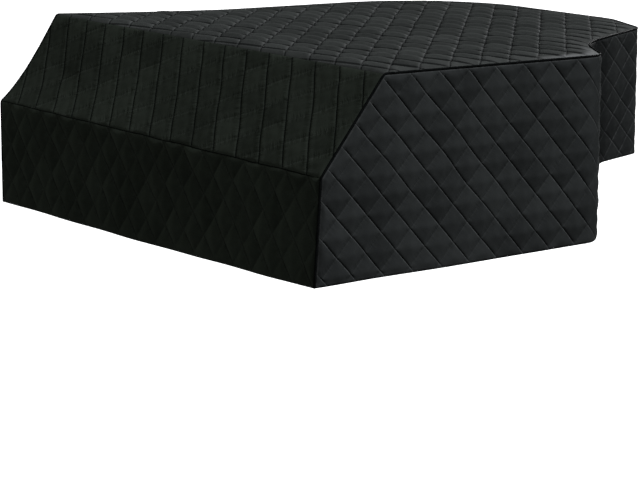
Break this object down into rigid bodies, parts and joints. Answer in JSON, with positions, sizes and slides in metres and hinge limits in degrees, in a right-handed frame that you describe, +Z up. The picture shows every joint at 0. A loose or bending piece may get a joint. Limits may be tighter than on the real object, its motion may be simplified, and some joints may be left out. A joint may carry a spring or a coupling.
{
  "type": "grand piano cover",
  "caption": "Fitted quilted cloth cover for a grand piano: flat top with a curved side and round tail, sloping front panel, hanging skirts that are open below, piped seams.",
  "frame": {"origin": "on the inner face of the top, in the middle of the width and halfway between the front and the tail, where the cover lies on the lid below it", "axes": "+Z up, +X towards the side with the short straight wall and the curve, -Y towards the sloping front, +Y towards the tail"},
  "size_m": [1.5169, 1.5072, 0.5128],
  "materials": {
    "quilted_cloth": "soft satin black, quilted",
    "piping_cloth": "smooth black binding over cord"
  },
  "bodies": {
    "root": {"top_panel": "quilted_cloth", "slope_panel": "quilted_cloth", "front_skirt": "quilted_cloth", "right_skirt": "quilted_cloth", "curved_skirt": "quilted_cloth", "tail_skirt": "quilted_cloth", "left_skirt": "quilted_cloth", "piping": "piping_cloth"}
  },
  "joints": []
}
